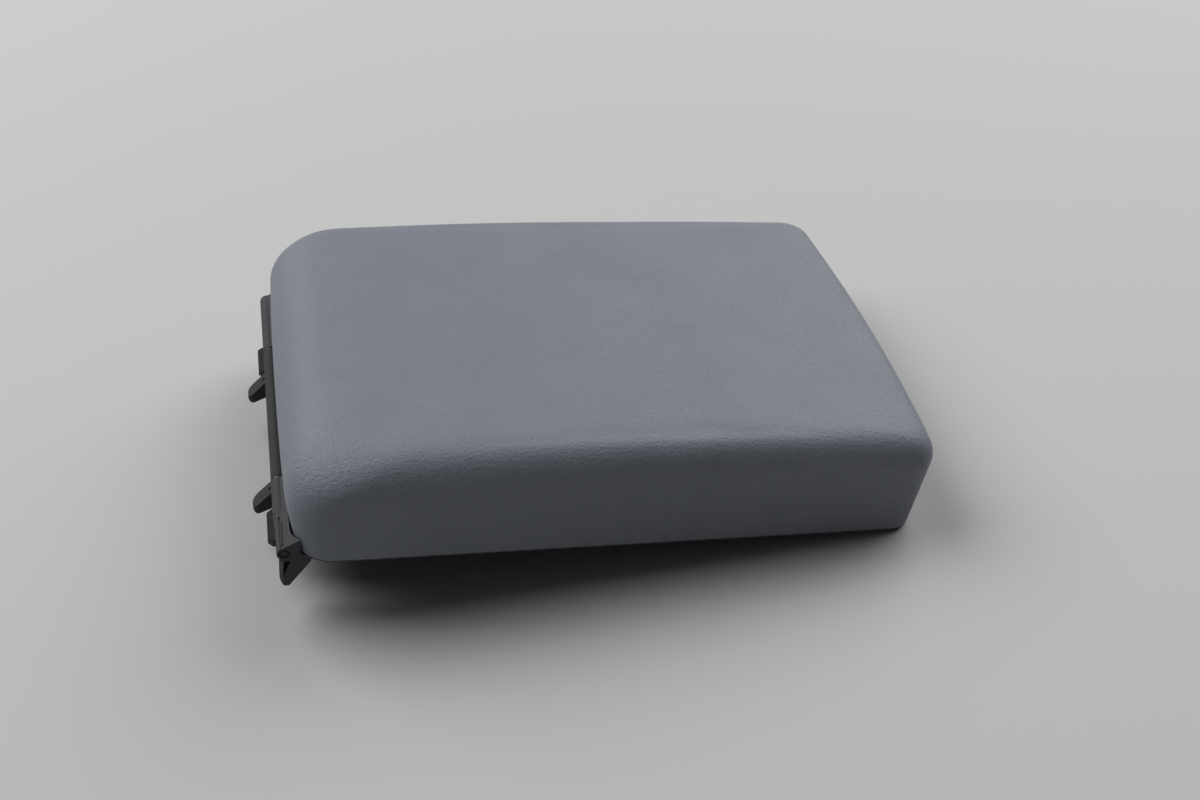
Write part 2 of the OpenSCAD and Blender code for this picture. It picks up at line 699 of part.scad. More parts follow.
// One outer length of the hinge bar, with its leaf under the lid and its hanging ear
module hinge_arm(slim) {
    slope = [cos(arm_slope), sin(arm_slope)];
    upright = [-slope.y, slope.x];
    groove_end = arm_face + ridge_groove_w*slope;
    ridge = arm_face + ridge_up*slope;
    difference() {
        union() {
            arm_bar(slim);
            difference() {
                along_y(arm_y, arm_l) polygon([
                    arm_face, [arm_face_x, arm_face_z],
                    [arm_face_x, -seat_gap], [leaf_l, -seat_gap], [leaf_l, leaf_z],
                    [axis_x, leaf_z + 0.2]]);
                // The face's front edge follows the pad's outline
                translate([0, 0, -seat_gap]) linear_extrude(arm_face_z + 1)
                    polygon([for (p = ring(arm_face_z, -pad_gap)) [p.x, p.y]]);
            }
            ear();
            if (slim)
                cross_rod(ridge.x, ridge.y, ridge_r, bar_half - ridge_in - ridge_l, ridge_l);
        }
        if (slim)
            along_y(bar_half - arm_end_l + arm_taper_l/2, arm_end_l) polygon([
                arm_face + upright, groove_end + upright,
                groove_end - ridge_groove_d*upright, arm_face - ridge_groove_d*upright]);
        cross_rod(axis_x, axis_z, pin_r + run_gap, arm_y - weld, arm_l + 2*weld);
        cross_rod(axis_x, axis_z, bush_r, arm_y - weld, bush_l + weld);
        cross_rod(axis_x, axis_z, clip_r + clip_room, bar_half - clip_recess, clip_recess + weld);
        arm_screw_places([-1]) translate([0, 0, leaf_z - weld])
            cylinder(r = screw_r + screw_gap, h = leaf_t + 2*weld, $fn = 32);
    }
}

module near_hinge_arm() {
    color(plastic_colour) at_mount() hinge_arm(true);
}

module far_hinge_arm() {
    color(plastic_colour) at_mount() mirror([0, 1, 0]) hinge_arm(false);
}

// Flanged bush pushed into an arm, which turns on the pin
module bush() {
    difference() {
        union() {
            cross_rod(axis_x, axis_z, bush_r - push_gap, arm_y - end_gap - weld, bush_l);
            cross_rod(axis_x, axis_z, bar_r - 0.2, middle_half + end_gap, bush_flange_t);
        }
        cross_rod(axis_x, axis_z, pin_r + run_gap, middle_half, bush_l + bush_flange_t + 1);
    }
}

module near_bush() {
    color(acetal_colour) at_mount() bush();
}

module far_bush() {
    color(acetal_colour) at_mount() mirror([0, 1, 0]) bush();
}

// Rubber buffer: a flat head, a neck through the panel and a barb above it
module buffer(side) {
    translate([buffer_x, side*buffer_y, 0]) rotate_extrude($fn = 48) polygon([
        [0, -buffer_h], [buffer_r - 0.6, -buffer_h], [buffer_r, -buffer_h + 0.6],
        [buffer_r, 0], [buffer_neck_r, 0], [buffer_neck_r, panel_t + seat_gap/2],
        [buffer_neck_r + barb, panel_t + seat_gap/2], [buffer_neck_r - barb, panel_t + barb_h],
        [0, panel_t + barb_h]]);
}

module near_buffer() {
    color(rubber_colour) at_mount() buffer(-1);
}

module far_buffer() {
    color(rubber_colour) at_mount() buffer(1);
}

// Latch housing: a box open below, screwed to the carrier by its two ears
module latch_housing() {
    inner = house_w/2 - house_t;
    color(trim_colour) at_mount() difference() {
        union() {
            translate([house_x0, -house_w/2, 0]) cube([house_l, house_w, house_h]);
            for (side = [-1, 1])
                translate([latch_screw_x - latch_ear_w/2, side*(house_w/2 - weld)
                    - (side < 0 ? latch_ear_w : 0), latch_ear_z])
                    cube([latch_ear_w, latch_ear_w + weld, latch_ear_t]);
        }
        translate([house_x0 + house_t, -inner, -weld])
            cube([house_l - 2*house_t, 2*inner, house_h - house_t + weld]);
        cross_rod(pivot_x, pivot_z, latch_pin_r + push_gap, -house_w/2 - weld, house_w + 2*weld);
        latch_screw_places() translate([0, 0, latch_ear_z - weld])
            cylinder(r = screw_r + screw_gap, h = latch_ear_t + 2*weld, $fn = 32);
    }
}

module latch_screws() {
    color(steel_colour) at_mount() latch_screw_places()
        translate([0, 0, latch_ear_z]) screw(screw_l);
}

module latch_pin() {
    color(steel_colour) at_mount()
        cross_rod(pivot_x, pivot_z, latch_pin_r, -house_w/2, house_w);
}

// Latch lever: finger paddle in front, hook behind, both on one boss
module latch_lever() {
    spring_room = coil_turns*coil_pitch + 2.4;
    color(plastic_colour) at_mount() difference() {
        union() {
            cross_rod(pivot_x, pivot_z, lever_boss_r, -lever_half, 2*lever_half);
            along_y(-lever_half, 2*lever_half) polygon([
                [pivot_x - 1.2, paddle_z], [pivot_x + paddle_l - 0.8, paddle_z],
                [pivot_x + paddle_l, paddle_z + 0.8], [pivot_x + paddle_l, paddle_z + paddle_t],
                [pivot_x + 2.2, paddle_z + paddle_t], [pivot_x + 1.4, pivot_z],
                [pivot_x - 1.2, pivot_z]]);
            along_y(-nose_half, 2*nose_half) polygon([
                [pivot_x, pivot_z + 2], [pivot_x - 3.2, pivot_z], [pivot_x - 3.8, paddle_z + 4.4],
                [pivot_x - nose_l + 0.4, paddle_z + 4], [pivot_x - nose_l, paddle_z + 3.2],
                [pivot_x - nose_l + 2.4, paddle_z + 1], [pivot_x, paddle_z]]);
        }
        cross_rod(pivot_x, pivot_z, latch_pin_r + run_gap, -house_w/2, house_w);
        // Room for the spring on the far side of the hook
        translate([pivot_x - lever_boss_r - 1, coil_y - 1.2, pivot_z - coil_r - 1])
            cube([2*lever_boss_r + 2, spring_room, lever_boss_r + coil_r + 2]);
    }
}

// Latch spring: a wire wound round the pin, with one leg on the roof and one on the paddle
module latch_spring() {
    sides = 8;
    steps = 16;
    // The extra quarter turn brings the last leg off the coil's front
    last = (coil_turns + 0.25)*steps;
    coil = [for (i = [0:last]) let (a = 90 - 360*i/steps)
        [pivot_x + coil_r*cos(a), coil_y + coil_pitch*i/steps, pivot_z + coil_r*sin(a)]];
    roof_leg = [pivot_x - leg_back, coil_y, house_h - house_t - wire_r - leg_gap];
    foot_leg = [pivot_x + paddle_l - leg_short, coil_y + coil_pitch*(coil_turns + 0.25),
        paddle_z + paddle_t + wire_r + leg_gap];
    path = concat([roof_leg], coil, [foot_leg]);
    n = len(path);
    rings = [for (i = [0:n - 1]) let (
        ahead = path[min(i + 1, n - 1)] - path[max(i - 1, 0)],
        t = ahead/norm(ahead),
        side = cross(t, [0, 1, 0])/norm(cross(t, [0, 1, 0])),
        up = cross(side, t))
        [for (k = [0:sides - 1]) let (a = 360*k/sides)
            path[i] + wire_r*(cos(a)*side + sin(a)*up)]];
    color(steel_colour) at_mount() loft_tube(rings);
}

// A closed tube through rings that all have the same number of points
module loft_tube(rings) {
    n = len(rings[0]);
    count = len(rings);
    faces = concat(wall_faces(n, count), [[for (i = [0:n - 1]) i]],
        [[for (i = [n - 1:-1:0]) (count - 1)*n + i]]);
    polyhedron(points = [for (r = rings) each r], faces = faces, convexity = 6);
}

// Hook behind the console's wall: a wedge with a round tip and a slot at its root
module hook() {
    back = -rail_back;
    tip = [back - hook_reach + hook_tip_r, -rail_drop - hook_drop + hook_tip_r];
    root = [back + weld, rail_z - hook_top_drop];
    foot = [back + weld, rail_z - hook_foot_drop];
    a0 = touch(root, tip, hook_tip_r, 1);
    a1 = touch(foot, tip, hook_tip_r, -1) + 360;
    round_tip = [for (i = [0:tip_steps]) let (a = a0 + (a1 - a0)*i/tip_steps)
        tip + hook_tip_r*[cos(a), sin(a)]];
    down = (round_tip[0] - root)/norm(round_tip[0] - root);
    difference() {
        intersection() {
            along_y(hook_y - 1, hook_w + 2) polygon(concat([root], round_tip, [foot]));
            translate([0, -hook_y - hook_w/2, -skirt_h - hook_drop])
                linear_extrude(skirt_h + hook_drop)
                rounded(back - hook_reach - weld, back + 2*hook_corner_r, hook_w/2,
                    hook_corner_r);
        }
        along_y(hook_y + (hook_w - hook_slot_w)/2, hook_slot_w) polygon([
            root + [weld, hook_slot_d], root + hook_slot_l*down + [0, hook_slot_d],
            root + hook_slot_l*down - [0, hook_slot_d], root + [weld, -hook_slot_d]]);
    }
}

// Flat tab on the skirt's rear face, with bevelled corners
module tab() {
    back = -rail_back;
    translate([0, -tab_y, -skirt_h]) linear_extrude(skirt_h - tab_top)
        polygon([[back + weld, tab_w/2], [back - tab_l + tab_bevel.x, tab_w/2],
            [back - tab_l, tab_w/2 - tab_bevel.y], [back - tab_l, -tab_w/2 + tab_bevel.y],
            [back - tab_l + tab_bevel.x, -tab_w/2], [back + weld, -tab_w/2]]);
}

module hook_and_tab() {
    hook();
    tab();
}

// Hinge base: middle of the bar, saddle over the console's wall, and mounting flange
module hinge_base() {
    flange_x1 = face_x + flange_t;
    color(plastic_colour) at_mount() difference() {
        union() {
            cross_rod(axis_x, axis_z, bar_r, -middle_half, 2*middle_half);
            along_y(-middle_half, 2*middle_half) polygon([
                [axis_x - bar_r, axis_z], [axis_x + bar_r, axis_z],
                [axis_x + bar_r - web_foot, rail_z + 1], [-rail_back, rail_z + 1]]);
            translate([-rail_back, -rail_half, rail_z])
                cube([rail_back + face_x + weld, 2*rail_half, rail_t]);
            translate([-rail_back, -rail_half, -skirt_h])
                cube([skirt_t, 2*rail_half, skirt_h + rail_z + weld]);
            translate([face_x, -flange_half, -flange_h])
                cube([flange_t, 2*flange_half, flange_h - rail_drop]);
            translate([face_x, -flange_half, rail_z])
                cube([flange_t + gusset_l, 2*flange_half, rail_t]);
            for (k = [-2:2])
                along_y(k*gusset_pitch - gusset_t/2, gusset_t) polygon([
                    [flange_x1 - weld, rail_z + weld], [flange_x1 + gusset_l, rail_z + weld],
                    [flange_x1, rail_z - gusset_h]]);
            hook_and_tab();
            mirror([0, 1, 0]) hook_and_tab();
        }
        cross_rod(axis_x, axis_z, pin_r + push_gap, -middle_half - weld, 2*middle_half + 2*weld);
        for (side = [-1, 1], up = [-1, 1])
            translate([face_x - weld, side*mount_dy/2, -mount_drop + up*mount_dz/2])
                rotate([0, 90, 0]) cylinder(r = mount_r, h = flange_t + 2*weld, $fn = 48);
    }
}

module hinge_pin() {
    l = bar_half - 0.4;
    color(steel_colour) at_mount() cross_rod(axis_x, axis_z, pin_r, -l, 2*l);
}

// Push-on clip whose teeth grip the end of the pin
module pin_clip() {
    y0 = bar_half - clip_recess + clip_seat;
    difference() {
        cross_rod(axis_x, axis_z, clip_r, y0, clip_t);
        cross_rod(axis_x, axis_z, pin_r + push_gap, y0 - weld, clip_t + 2*weld);
        for (a = [0:60:300])
            translate([axis_x, -y0 + weld, axis_z]) rotate([90, a, 0])
                translate([pin_r - 0.2, -0.2, 0]) cube([0.7, 0.4, clip_t + 2*weld]);
    }
}

module near_pin_clip() {
    color(steel_colour) at_mount() pin_clip();
}

module far_pin_clip() {
    color(steel_colour) at_mount() mirror([0, 1, 0]) pin_clip();
}

cover_skin();
foam_pad();
carrier();
cover_staples();
lower_panel();
panel_screws();
near_hinge_arm();
far_hinge_arm();
arm_screws();
near_bush();
far_bush();
near_buffer();
far_buffer();
latch_housing();
latch_screws();
latch_pin();
latch_spring();
latch_lever();
hinge_base();
hinge_pin();
near_pin_clip();
far_pin_clip();
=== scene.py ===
import bmesh
import bpy
import math
import numpy as np
from mathutils import Matrix, Vector


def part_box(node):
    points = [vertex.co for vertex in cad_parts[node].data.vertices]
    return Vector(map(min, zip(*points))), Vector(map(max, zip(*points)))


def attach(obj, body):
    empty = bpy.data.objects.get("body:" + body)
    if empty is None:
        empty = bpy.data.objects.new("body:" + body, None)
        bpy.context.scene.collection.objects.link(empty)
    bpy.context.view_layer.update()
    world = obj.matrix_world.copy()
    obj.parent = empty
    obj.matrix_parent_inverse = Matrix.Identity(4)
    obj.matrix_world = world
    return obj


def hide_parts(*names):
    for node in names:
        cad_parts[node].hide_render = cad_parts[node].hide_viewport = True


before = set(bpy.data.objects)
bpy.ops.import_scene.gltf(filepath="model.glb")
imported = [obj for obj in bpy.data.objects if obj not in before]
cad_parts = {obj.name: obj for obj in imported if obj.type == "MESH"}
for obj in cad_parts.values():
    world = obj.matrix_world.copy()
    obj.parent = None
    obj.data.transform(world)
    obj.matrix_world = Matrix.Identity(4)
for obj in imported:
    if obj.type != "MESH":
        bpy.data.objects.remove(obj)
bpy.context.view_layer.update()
scene = bpy.context.scene

# Hinge base
# The fixed half of the hinge: the middle of the bar, the saddle that grips the console's rear wall
# with two hooks and two tabs, and the flange that takes four screws. One moulding in glass-filled
# nylon, so its edges are slightly round and its skin is satin with a faint fibre texture.
MM = 0.001
# Corners of facets that lie closer than WELD are one corner
WELD = 0.002 * MM
# An edge that turns by less than FLAT is no edge, one that turns by more than SHARP is rounded, and
# one that turns by more than CREASE even then keeps a hard line in the shading
FLAT, SHARP, CREASE = math.radians(0.5), math.radians(28), math.radians(40)
BASE_EDGE = 0.3 * MM


def linear(hex_colour):
    """An sRGB hex value as a linear colour with alpha 1."""
    parts = [int(hex_colour[i:i + 2], 16) / 255 for i in (0, 2, 4)]
    return [c / 12.92 if c <= 0.04045 else ((c + 0.055) / 1.055) ** 2.4 for c in parts] + [1]


def add(tree, kind, settings=(), **inputs):
    """Adds a node, sets its properties, and links or fills its inputs by name, or by index as i0.

    A colour mix has its two colours at 6 and 7, and their mix at output 2."""
    made = tree.nodes.new(kind)
    for name, value in dict(settings).items():
        setattr(made, name, value)
    for name, value in inputs.items():
        key = int(name[1:]) if name[0] == "i" and name[1:].isdigit() else name.replace("_", " ")
        if isinstance(value, bpy.types.NodeSocket):
            tree.links.new(value, made.inputs[key])
        else:
            made.inputs[key].default_value = value
    return made


def new_material(name):
    """An empty node material: its tree, its Principled shader and its object coordinates."""
    material = bpy.data.materials.new(name)
    material.use_nodes = True
    tree = material.node_tree
    tree.nodes.clear()
    shader = add(tree, "ShaderNodeBsdfPrincipled")
    add(tree, "ShaderNodeOutputMaterial", Surface=shader.outputs[0])
    place = add(tree, "ShaderNodeTexCoord").outputs["Object"]
    return material, tree, shader, place


def moulded_nylon(name, dark, light, roughness, fleck_mm=0.5, flow_mm=18):
    """Glass-filled nylon: satin, with a fibre texture that breaks up the highlight."""
    material, tree, shader, place = new_material(name)
    fleck = add(tree, "ShaderNodeTexNoise", Vector=place, Scale=1 / (fleck_mm * MM), Detail=3.0)
    flow = add(tree, "ShaderNodeTexNoise", Vector=place, Scale=1 / (flow_mm * MM), Detail=2.0)
    shade = add(tree, "ShaderNodeMix", {"data_type": "RGBA"}, Factor=flow.outputs["Fac"],
                i6=linear(dark), i7=linear(light))
    tree.links.new(shade.outputs[2], shader.inputs["Base Color"])
    gloss = add(tree, "ShaderNodeMapRange", Value=fleck.outputs["Fac"], From_Min=0.3, From_Max=0.7,
                To_Min=roughness - 0.07, To_Max=roughness + 0.08)
    tree.links.new(gloss.outputs[0], shader.inputs["Roughness"])
    bump = add(tree, "ShaderNodeBump", Height=fleck.outputs["Fac"], Distance=0.05 * MM, Strength=0.5)
    tree.links.new(bump.outputs[0], shader.inputs["Normal"])
    shader.inputs["IOR"].default_value = 1.53
    return material


def place_piece(name, mesh, body, slot, *nodes):
    """Links a mesh as a finished piece that rides on a body and stands for CAD nodes."""
    piece = bpy.data.objects.new(name, mesh)
    scene.collection.objects.link(piece)
    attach(piece, body)
    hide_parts(*nodes)
    return piece


def welded(node):
    """A CAD node's mesh, open to changes, with the corners of its facets joined."""
    bm = bmesh.new()
    bm.from_mesh(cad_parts[node].data)
    bmesh.ops.remove_doubles(bm, verts=bm.verts, dist=WELD)
    return bm


def place_moulding(node, rounding, material, body, slot):
    """Places a copy of a CAD node with its sharp edges rounded, as a mould leaves them."""
    bm = welded(node)
    bmesh.ops.dissolve_limit(bm, angle_limit=FLAT, verts=bm.verts, edges=bm.edges)
    sharp = [e for e in bm.edges if len(e.link_faces) == 2 and e.calc_face_angle(0) > SHARP]
    bmesh.ops.bevel(bm, geom=sharp, offset=rounding, segments=2, profile=0.5, affect="EDGES",
                    clamp_overlap=True, miter_outer="ARC", harden_normals=False)
    mesh = bpy.data.meshes.new(node + "_eased")
    bm.to_mesh(mesh)
    bm.free()
    mesh.shade_smooth()
    mesh.set_sharp_from_angle(angle=CREASE)
    mesh.materials.append(material)
    piece = place_piece(node + "_moulding", mesh, body, slot, node)
    # Normals weighted by area keep the flat faces flat beside the rounded edges
    piece.modifiers.new("flats", "WEIGHTED_NORMAL").keep_sharp = True


def finish_node(node, material):
    """Gives a carried-over CAD node its material."""
    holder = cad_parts[node]
    holder.data.materials.clear()
    holder.data.materials.append(material)


base_nylon = moulded_nylon("base_glass_filled_nylon", "0b0c0d", "121315", roughness=0.78)
place_moulding("hinge_base", BASE_EDGE, base_nylon, "base", "moulded_plastic")

# Hinge pin and its clips
# A steel rod through the whole bar, held by a push-on spring clip at each end. Both are black with
# phosphate, a matt crystalline coat; the latch's own pin is zinc plated, pale and slightly bluish.


def phosphate(name, crystal_mm=0.2):
    """Phosphated steel: a dark grey metal, made matt by fine crystals."""
    material, tree, shader, place = new_material(name)
    crystal = add(tree, "ShaderNodeTexNoise", Vector=place, Scale=1 / (crystal_mm * MM), Detail=3.0)
    tone = add(tree, "ShaderNodeMix", {"data_type": "RGBA"}, Factor=crystal.outputs["Fac"],
               i6=linear("2a2b2d"), i7=linear("434548"))
    tree.links.new(tone.outputs[2], shader.inputs["Base Color"])
    gloss = add(tree, "ShaderNodeMapRange", Value=crystal.outputs["Fac"], To_Min=0.5, To_Max=0.68)
    tree.links.new(gloss.outputs[0], shader.inputs["Roughness"])
    shader.inputs["Metallic"].default_value = 1
    return material


def zinc_plate(name, mottle_mm=0.25):
    """Zinc-plated steel: a bright metal with a fine mottled plating."""
    material, tree, shader, place = new_material(name)
    grain = add(tree, "ShaderNodeTexNoise", Vector=place, Scale=1 / (mottle_mm * MM), Detail=4.0)
    tone = add(tree, "ShaderNodeMix", {"data_type": "RGBA"}, Factor=grain.outputs["Fac"],
               i6=linear("a9adb3"), i7=linear("d2d4d6"))
    tree.links.new(tone.outputs[2], shader.inputs["Base Color"])
    gloss = add(tree, "ShaderNodeMapRange", Value=grain.outputs["Fac"], To_Min=0.24, To_Max=0.42)
    tree.links.new(gloss.outputs[0], shader.inputs["Roughness"])
    shader.inputs["Metallic"].default_value = 1
    return material


black_steel = phosphate("phosphated_steel")
zinc = zinc_plate("zinc_plated_steel")
for node, coat in (("hinge_pin", black_steel), ("near_pin_clip", black_steel),
                   ("far_pin_clip", black_steel), ("latch_pin", zinc)):
    finish_node(node, coat)

# Bushes
# Flanged acetal bushes pushed into the arms. They are black and smooth, and only the edge of each
# flange shows, as the dark line where the hinge bar is split.


def black_acetal(name):
    """Acetal: dense and smooth, with the faint swirl that turning or moulding leaves."""
    material, tree, shader, place = new_material(name)
    swirl = add(tree, "ShaderNodeTexNoise", Vector=place, Scale=1 / (2 * MM), Detail=2.0)
    tone = add(tree, "ShaderNodeMix", {"data_type": "RGBA"}, Factor=swirl.outputs["Fac"],
               i6=linear("0b0b0c"), i7=linear("141416"))
    tree.links.new(tone.outputs[2], shader.inputs["Base Color"])
    shader.inputs["Roughness"].default_value = 0.35
    shader.inputs["IOR"].default_value = 1.48
    return material


acetal = black_acetal("black_acetal")
for node in ("near_bush", "far_bush"):
    finish_node(node, acetal)

# Hinge arms
# The outer lengths of the bar, each with a leaf screwed under the lid and a hanging ear that stops the lid.
# They are nylon like the base, drawn a tone lighter: painted light, standing for the light that falls on the
# near arm.
LID_EDGE = 0.25 * MM
# The arms' lighter tone is painted light on the same nylon as the base
arm_nylon_painted_light = moulded_nylon("arm_nylon_painted_lighter", "1f2025", "292a2f", roughness=0.72)
for side in ("near", "far"):
    place_moulding(side + "_hinge_arm", LID_EDGE, arm_nylon_painted_light, "lid", "moulded_plastic")

# Screws
# Twelve pan-head screws for plastic: a domed head with a cross recess, and a coarse thread.
# One tree makes a screw from its sizes and sets a copy at each place; the steel is zinc plated.
HEAD_R, HEAD_H, SHANK_R = 3.0 * MM, 1.6 * MM, 1.5 * MM
PITCH = 1.3 * MM
# The domed head in steps: each one's rise by the head's height, and the scale its end is drawn in to
HEAD_STEPS = ((-0.45, 0.97), (-0.35, 0.86), (-0.2, 0.68))
# Length, width and height of the two bars that cut the cross recess
BAR_L, BAR_W, BAR_H = HEAD_R * 1.05, HEAD_R * 0.26, HEAD_H * 1.3
# The shank's core at the head and at its tip, and the thread's ridge, as shares of the shank's radius
CORE, TIP, RIDGE = 0.78, 0.6, 0.2
SCREW_CREASE = math.radians(35)


def screw_tree():
    """Makes a screw at each of the given places, seated there and driven upwards along +Z."""
    tree = bpy.data.node_groups.new("pan_head_screws", "GeometryNodeTree")
    for name, kind, value in (("Places", "NodeSocketGeometry", None),
                              ("Head Radius", "NodeSocketFloat", HEAD_R),
                              ("Head Height", "NodeSocketFloat", HEAD_H),
                              ("Shank Radius", "NodeSocketFloat", SHANK_R),
                              ("Shank Length", "NodeSocketFloat", None),
                              ("Pitch", "NodeSocketFloat", PITCH),
                              ("Finish", "NodeSocketMaterial", None)):
        socket = tree.interface.new_socket(name=name, in_out="INPUT", socket_type=kind)
        if value is not None:
            socket.default_value = value
    tree.interface.new_socket(name="Screws", in_out="OUTPUT", socket_type="NodeSocketGeometry")
    given = add(tree, "NodeGroupInput").outputs
    down = add(tree, "ShaderNodeMath", {"operation": "MULTIPLY"}, i0=given["Head Height"], i1=-1.0)

    # The head grows downwards from its seat in three drawn-in steps
    geometry = add(tree, "GeometryNodeMeshCircle", {"fill_type": "NGON"}, Vertices=32,
                   Radius=given["Head Radius"]).outputs[0]
    for share, shrink in HEAD_STEPS:
        rise = add(tree, "ShaderNodeMath", {"operation": "MULTIPLY"}, i0=given["Head Height"], i1=share)
        way = add(tree, "ShaderNodeCombineXYZ", Z=rise.outputs[0])
        grown = add(tree, "GeometryNodeExtrudeMesh", {"mode": "FACES"}, Mesh=geometry, Offset=way.outputs[0],
                    Individual=False)
        geometry = add(tree, "GeometryNodeScaleElements", {"domain": "FACE"}, Geometry=grown.outputs[0],
                       Selection=grown.outputs[1], Scale=shrink).outputs[0]
    slab = add(tree, "ShaderNodeCombineXYZ", X=BAR_L, Y=BAR_W, Z=BAR_H)
    low = add(tree, "ShaderNodeCombineXYZ", Z=down.outputs[0])
    cutters = []
    for turn in (0, math.pi / 2):
        bar = add(tree, "GeometryNodeMeshCube", Size=slab.outputs[0])
        cutters.append(add(tree, "GeometryNodeTransform", Geometry=bar.outputs[0], Translation=low.outputs[0],
                           Rotation=(0, 0, turn)).outputs[0])
    head = add(tree, "GeometryNodeMeshBoolean", {"operation": "DIFFERENCE"})
    tree.links.new(geometry, head.inputs[0])
    for cutter in cutters:
        tree.links.new(cutter, head.inputs[1])

    # The shank with its point, and the thread as a ridge wound round it
    core = add(tree, "ShaderNodeMath", {"operation": "MULTIPLY"}, i0=given["Shank Radius"], i1=CORE)
    tip = add(tree, "ShaderNodeMath", {"operation": "MULTIPLY"}, i0=given["Shank Radius"], i1=TIP)
    rod = add(tree, "GeometryNodeMeshCone", Vertices=20, Radius_Bottom=core.outputs[0],
              Radius_Top=tip.outputs[0], Depth=given["Shank Length"])
    turns = add(tree, "ShaderNodeMath", {"operation": "DIVIDE"}, i0=given["Shank Length"], i1=given["Pitch"])
    wind = add(tree, "GeometryNodeCurveSpiral", Resolution=20, Rotations=turns.outputs[0],
               Start_Radius=core.outputs[0], End_Radius=tip.outputs[0], Height=given["Shank Length"])
    ridge_r = add(tree, "ShaderNodeMath", {"operation": "MULTIPLY"}, i0=given["Shank Radius"], i1=RIDGE)
    edge = add(tree, "GeometryNodeCurvePrimitiveCircle", Resolution=4, Radius=ridge_r.outputs[0])
    thread = add(tree, "GeometryNodeCurveToMesh", Curve=wind.outputs[0], Profile_Curve=edge.outputs[0],
                 Fill_Caps=True)
    screw = add(tree, "GeometryNodeJoinGeometry")
    for part in (head.outputs[0], rod.outputs[0], thread.outputs[0]):
        tree.links.new(part, screw.inputs[0])
    spin = add(tree, "FunctionNodeRandomValue", {"data_type": "FLOAT"}, i2=0.0, i3=math.pi / 2, Seed=4)
    turn = add(tree, "ShaderNodeCombineXYZ", Z=spin.outputs[1])
    spread = add(tree, "GeometryNodeInstanceOnPoints", Points=given["Places"], Instance=screw.outputs[0],
                 Rotation=turn.outputs[0])
    real = add(tree, "GeometryNodeRealizeInstances", Geometry=spread.outputs[0])
    made = add(tree, "GeometryNodeSetMaterial", Geometry=real.outputs[0], Material=given["Finish"])
    add(tree, "NodeGroupOutput", Screws=made.outputs[0])
    return tree


def grown_mesh(name, start, tree, values):
    """Runs a geometry tree on a starting mesh and returns the result as a plain mesh."""
    holder = bpy.data.objects.new(name + "_holder", start)
    scene.collection.objects.link(holder)
    modifier = holder.modifiers.new("growth", "NODES")
    modifier.node_group = tree
    for socket in tree.interface.items_tree:
        if socket.in_out == "INPUT" and socket.name in values:
            modifier[socket.identifier] = values[socket.name]
    bpy.context.view_layer.update()
    ready = holder.evaluated_get(bpy.context.evaluated_depsgraph_get())
    mesh = bpy.data.meshes.new_from_object(ready)
    holder.modifiers.remove(modifier)
    bpy.data.objects.remove(holder)
    mesh.name = name
    return mesh


def screw_seats(node):
    """The seat of each screw of a CAD node, where its head meets its shank, and the shank's length."""
    bm = welded(node)
    left = set(bm.verts)
    seats = []
    while left:
        island, edge = set(), [left.pop()]
        while edge:
            vert = edge.pop()
            island.add(vert)
            near = {e.other_vert(vert) for e in vert.link_edges} - island
            edge.extend(near & left)
            left -= near
        points = np.array([v.co for v in island])
        low, high = points.min(0), points.max(0)
        seats.append(((low[0] + high[0]) / 2, (low[1] + high[1]) / 2, low[2] + HEAD_H))
    length = high[2] - low[2] - HEAD_H
    bm.free()
    return sorted(seats), length


screws = screw_tree()
for node in ("panel_screws", "arm_screws", "latch_screws"):
    seats, shank = screw_seats(node)
    points = bpy.data.meshes.new(node + "_places")
    points.from_pydata(seats, [], [])
    screw_mesh = grown_mesh(node + "_pan_head", points, screws, {"Shank Length": shank, "Finish": zinc})
    screw_mesh.shade_smooth()
    screw_mesh.set_sharp_from_angle(angle=SCREW_CREASE)
    place_piece(node + "_pan_head", screw_mesh, "lid", "steel", node)

# Carrier
# The ribbed tray inside the pad, an injection moulding in ABS that the cover is stapled to.
# It is closed in on all sides, so its own solid stays, in plain matt black plastic.


def moulded_abs(name, dark, light, grain_mm, depth_mm, roughness):
    """ABS moulded against an etched tool: a fine even leather-like grain and a low sheen."""
    material, tree, shader, place = new_material(name)
    cells = add(tree, "ShaderNodeTexVoronoi", {"feature": "SMOOTH_F1"}, Vector=place,
                Scale=1 / (grain_mm * MM), Smoothness=0.6)
    haze = add(tree, "ShaderNodeTexNoise", Vector=place, Scale=1 / (9 * MM), Detail=3.0)
    tone = add(tree, "ShaderNodeMix", {"data_type": "RGBA"}, Factor=haze.outputs["Fac"],
               i6=linear(dark), i7=linear(light))
    tree.links.new(tone.outputs[2], shader.inputs["Base Color"])
    gloss = add(tree, "ShaderNodeMapRange", Value=cells.outputs["Distance"], To_Min=roughness + 0.1,
                To_Max=roughness - 0.1)
    tree.links.new(gloss.outputs[0], shader.inputs["Roughness"])
    bump = add(tree, "ShaderNodeBump", {"invert": True}, Height=cells.outputs["Distance"],
               Distance=depth_mm * MM, Strength=0.7)
    tree.links.new(bump.outputs[0], shader.inputs["Normal"])
    shader.inputs["IOR"].default_value = 1.52
    return material


tray_abs = moulded_abs("tray_abs", "1d1d1f", "242426", grain_mm=1.4, depth_mm=0.03, roughness=0.6)
finish_node("carrier", tray_abs)

# Foam
# Moulded polyurethane foam between the carrier and the cover. It follows the cover's form, a
# cover's thickness and a little clearance inside it, and its skin is open-celled and cream.
PAD_L, PAD_W, PAD_H = 300 * MM, 207.5 * MM, 47.6 * MM
# The top's rise along and across the pad, and the share of the length at which it is highest
CROWN_LONG, CROWN_CROSS, CROWN_AT = 5.1 * MM, 0.6 * MM, 0.6
# The roundings of the walls into the top, and of the corners in plan
REAR_R, FRONT_R, SIDE_R = 25 * MM, 11.5 * MM, 10.5 * MM
CORNER_REAR, CORNER_FRONT, CORNER_LEAST = 16 * MM, 11 * MM, 2 * MM
